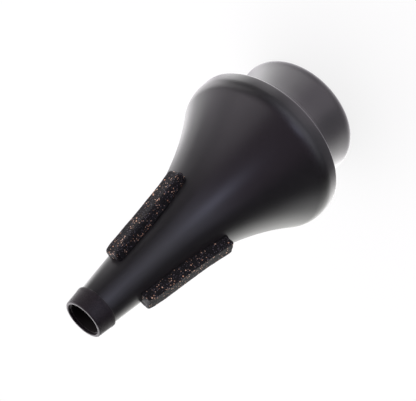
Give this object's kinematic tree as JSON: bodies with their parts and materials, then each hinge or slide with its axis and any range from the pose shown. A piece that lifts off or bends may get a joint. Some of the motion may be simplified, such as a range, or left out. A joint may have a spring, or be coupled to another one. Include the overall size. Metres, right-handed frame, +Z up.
{
  "type": "trumpet straight mute",
  "caption": "Straight mute for a trumpet: hollow black flared cone with a belly, waist and flat-based foot, a collar at its open tip and speckled cork strips.",
  "frame": {"origin": "middle of the flat base that the mute stands on", "axes": "+Z up the mute's axis, from the base to the open tip; one cork strip faces +Y"},
  "size_m": [0.1, 0.1, 0.189],
  "materials": {
    "shell": "satin black",
    "collar": "matt black",
    "cork": "black cork and rubber crumb with copper-coloured specks"
  },
  "bodies": {
    "root": {"front_shell": "shell", "rear_cup": "shell", "base_plate": "shell", "tip_collar": "collar", "cork_strip_1": "cork", "cork_strip_2": "cork", "cork_strip_3": "cork"}
  },
  "joints": []
}
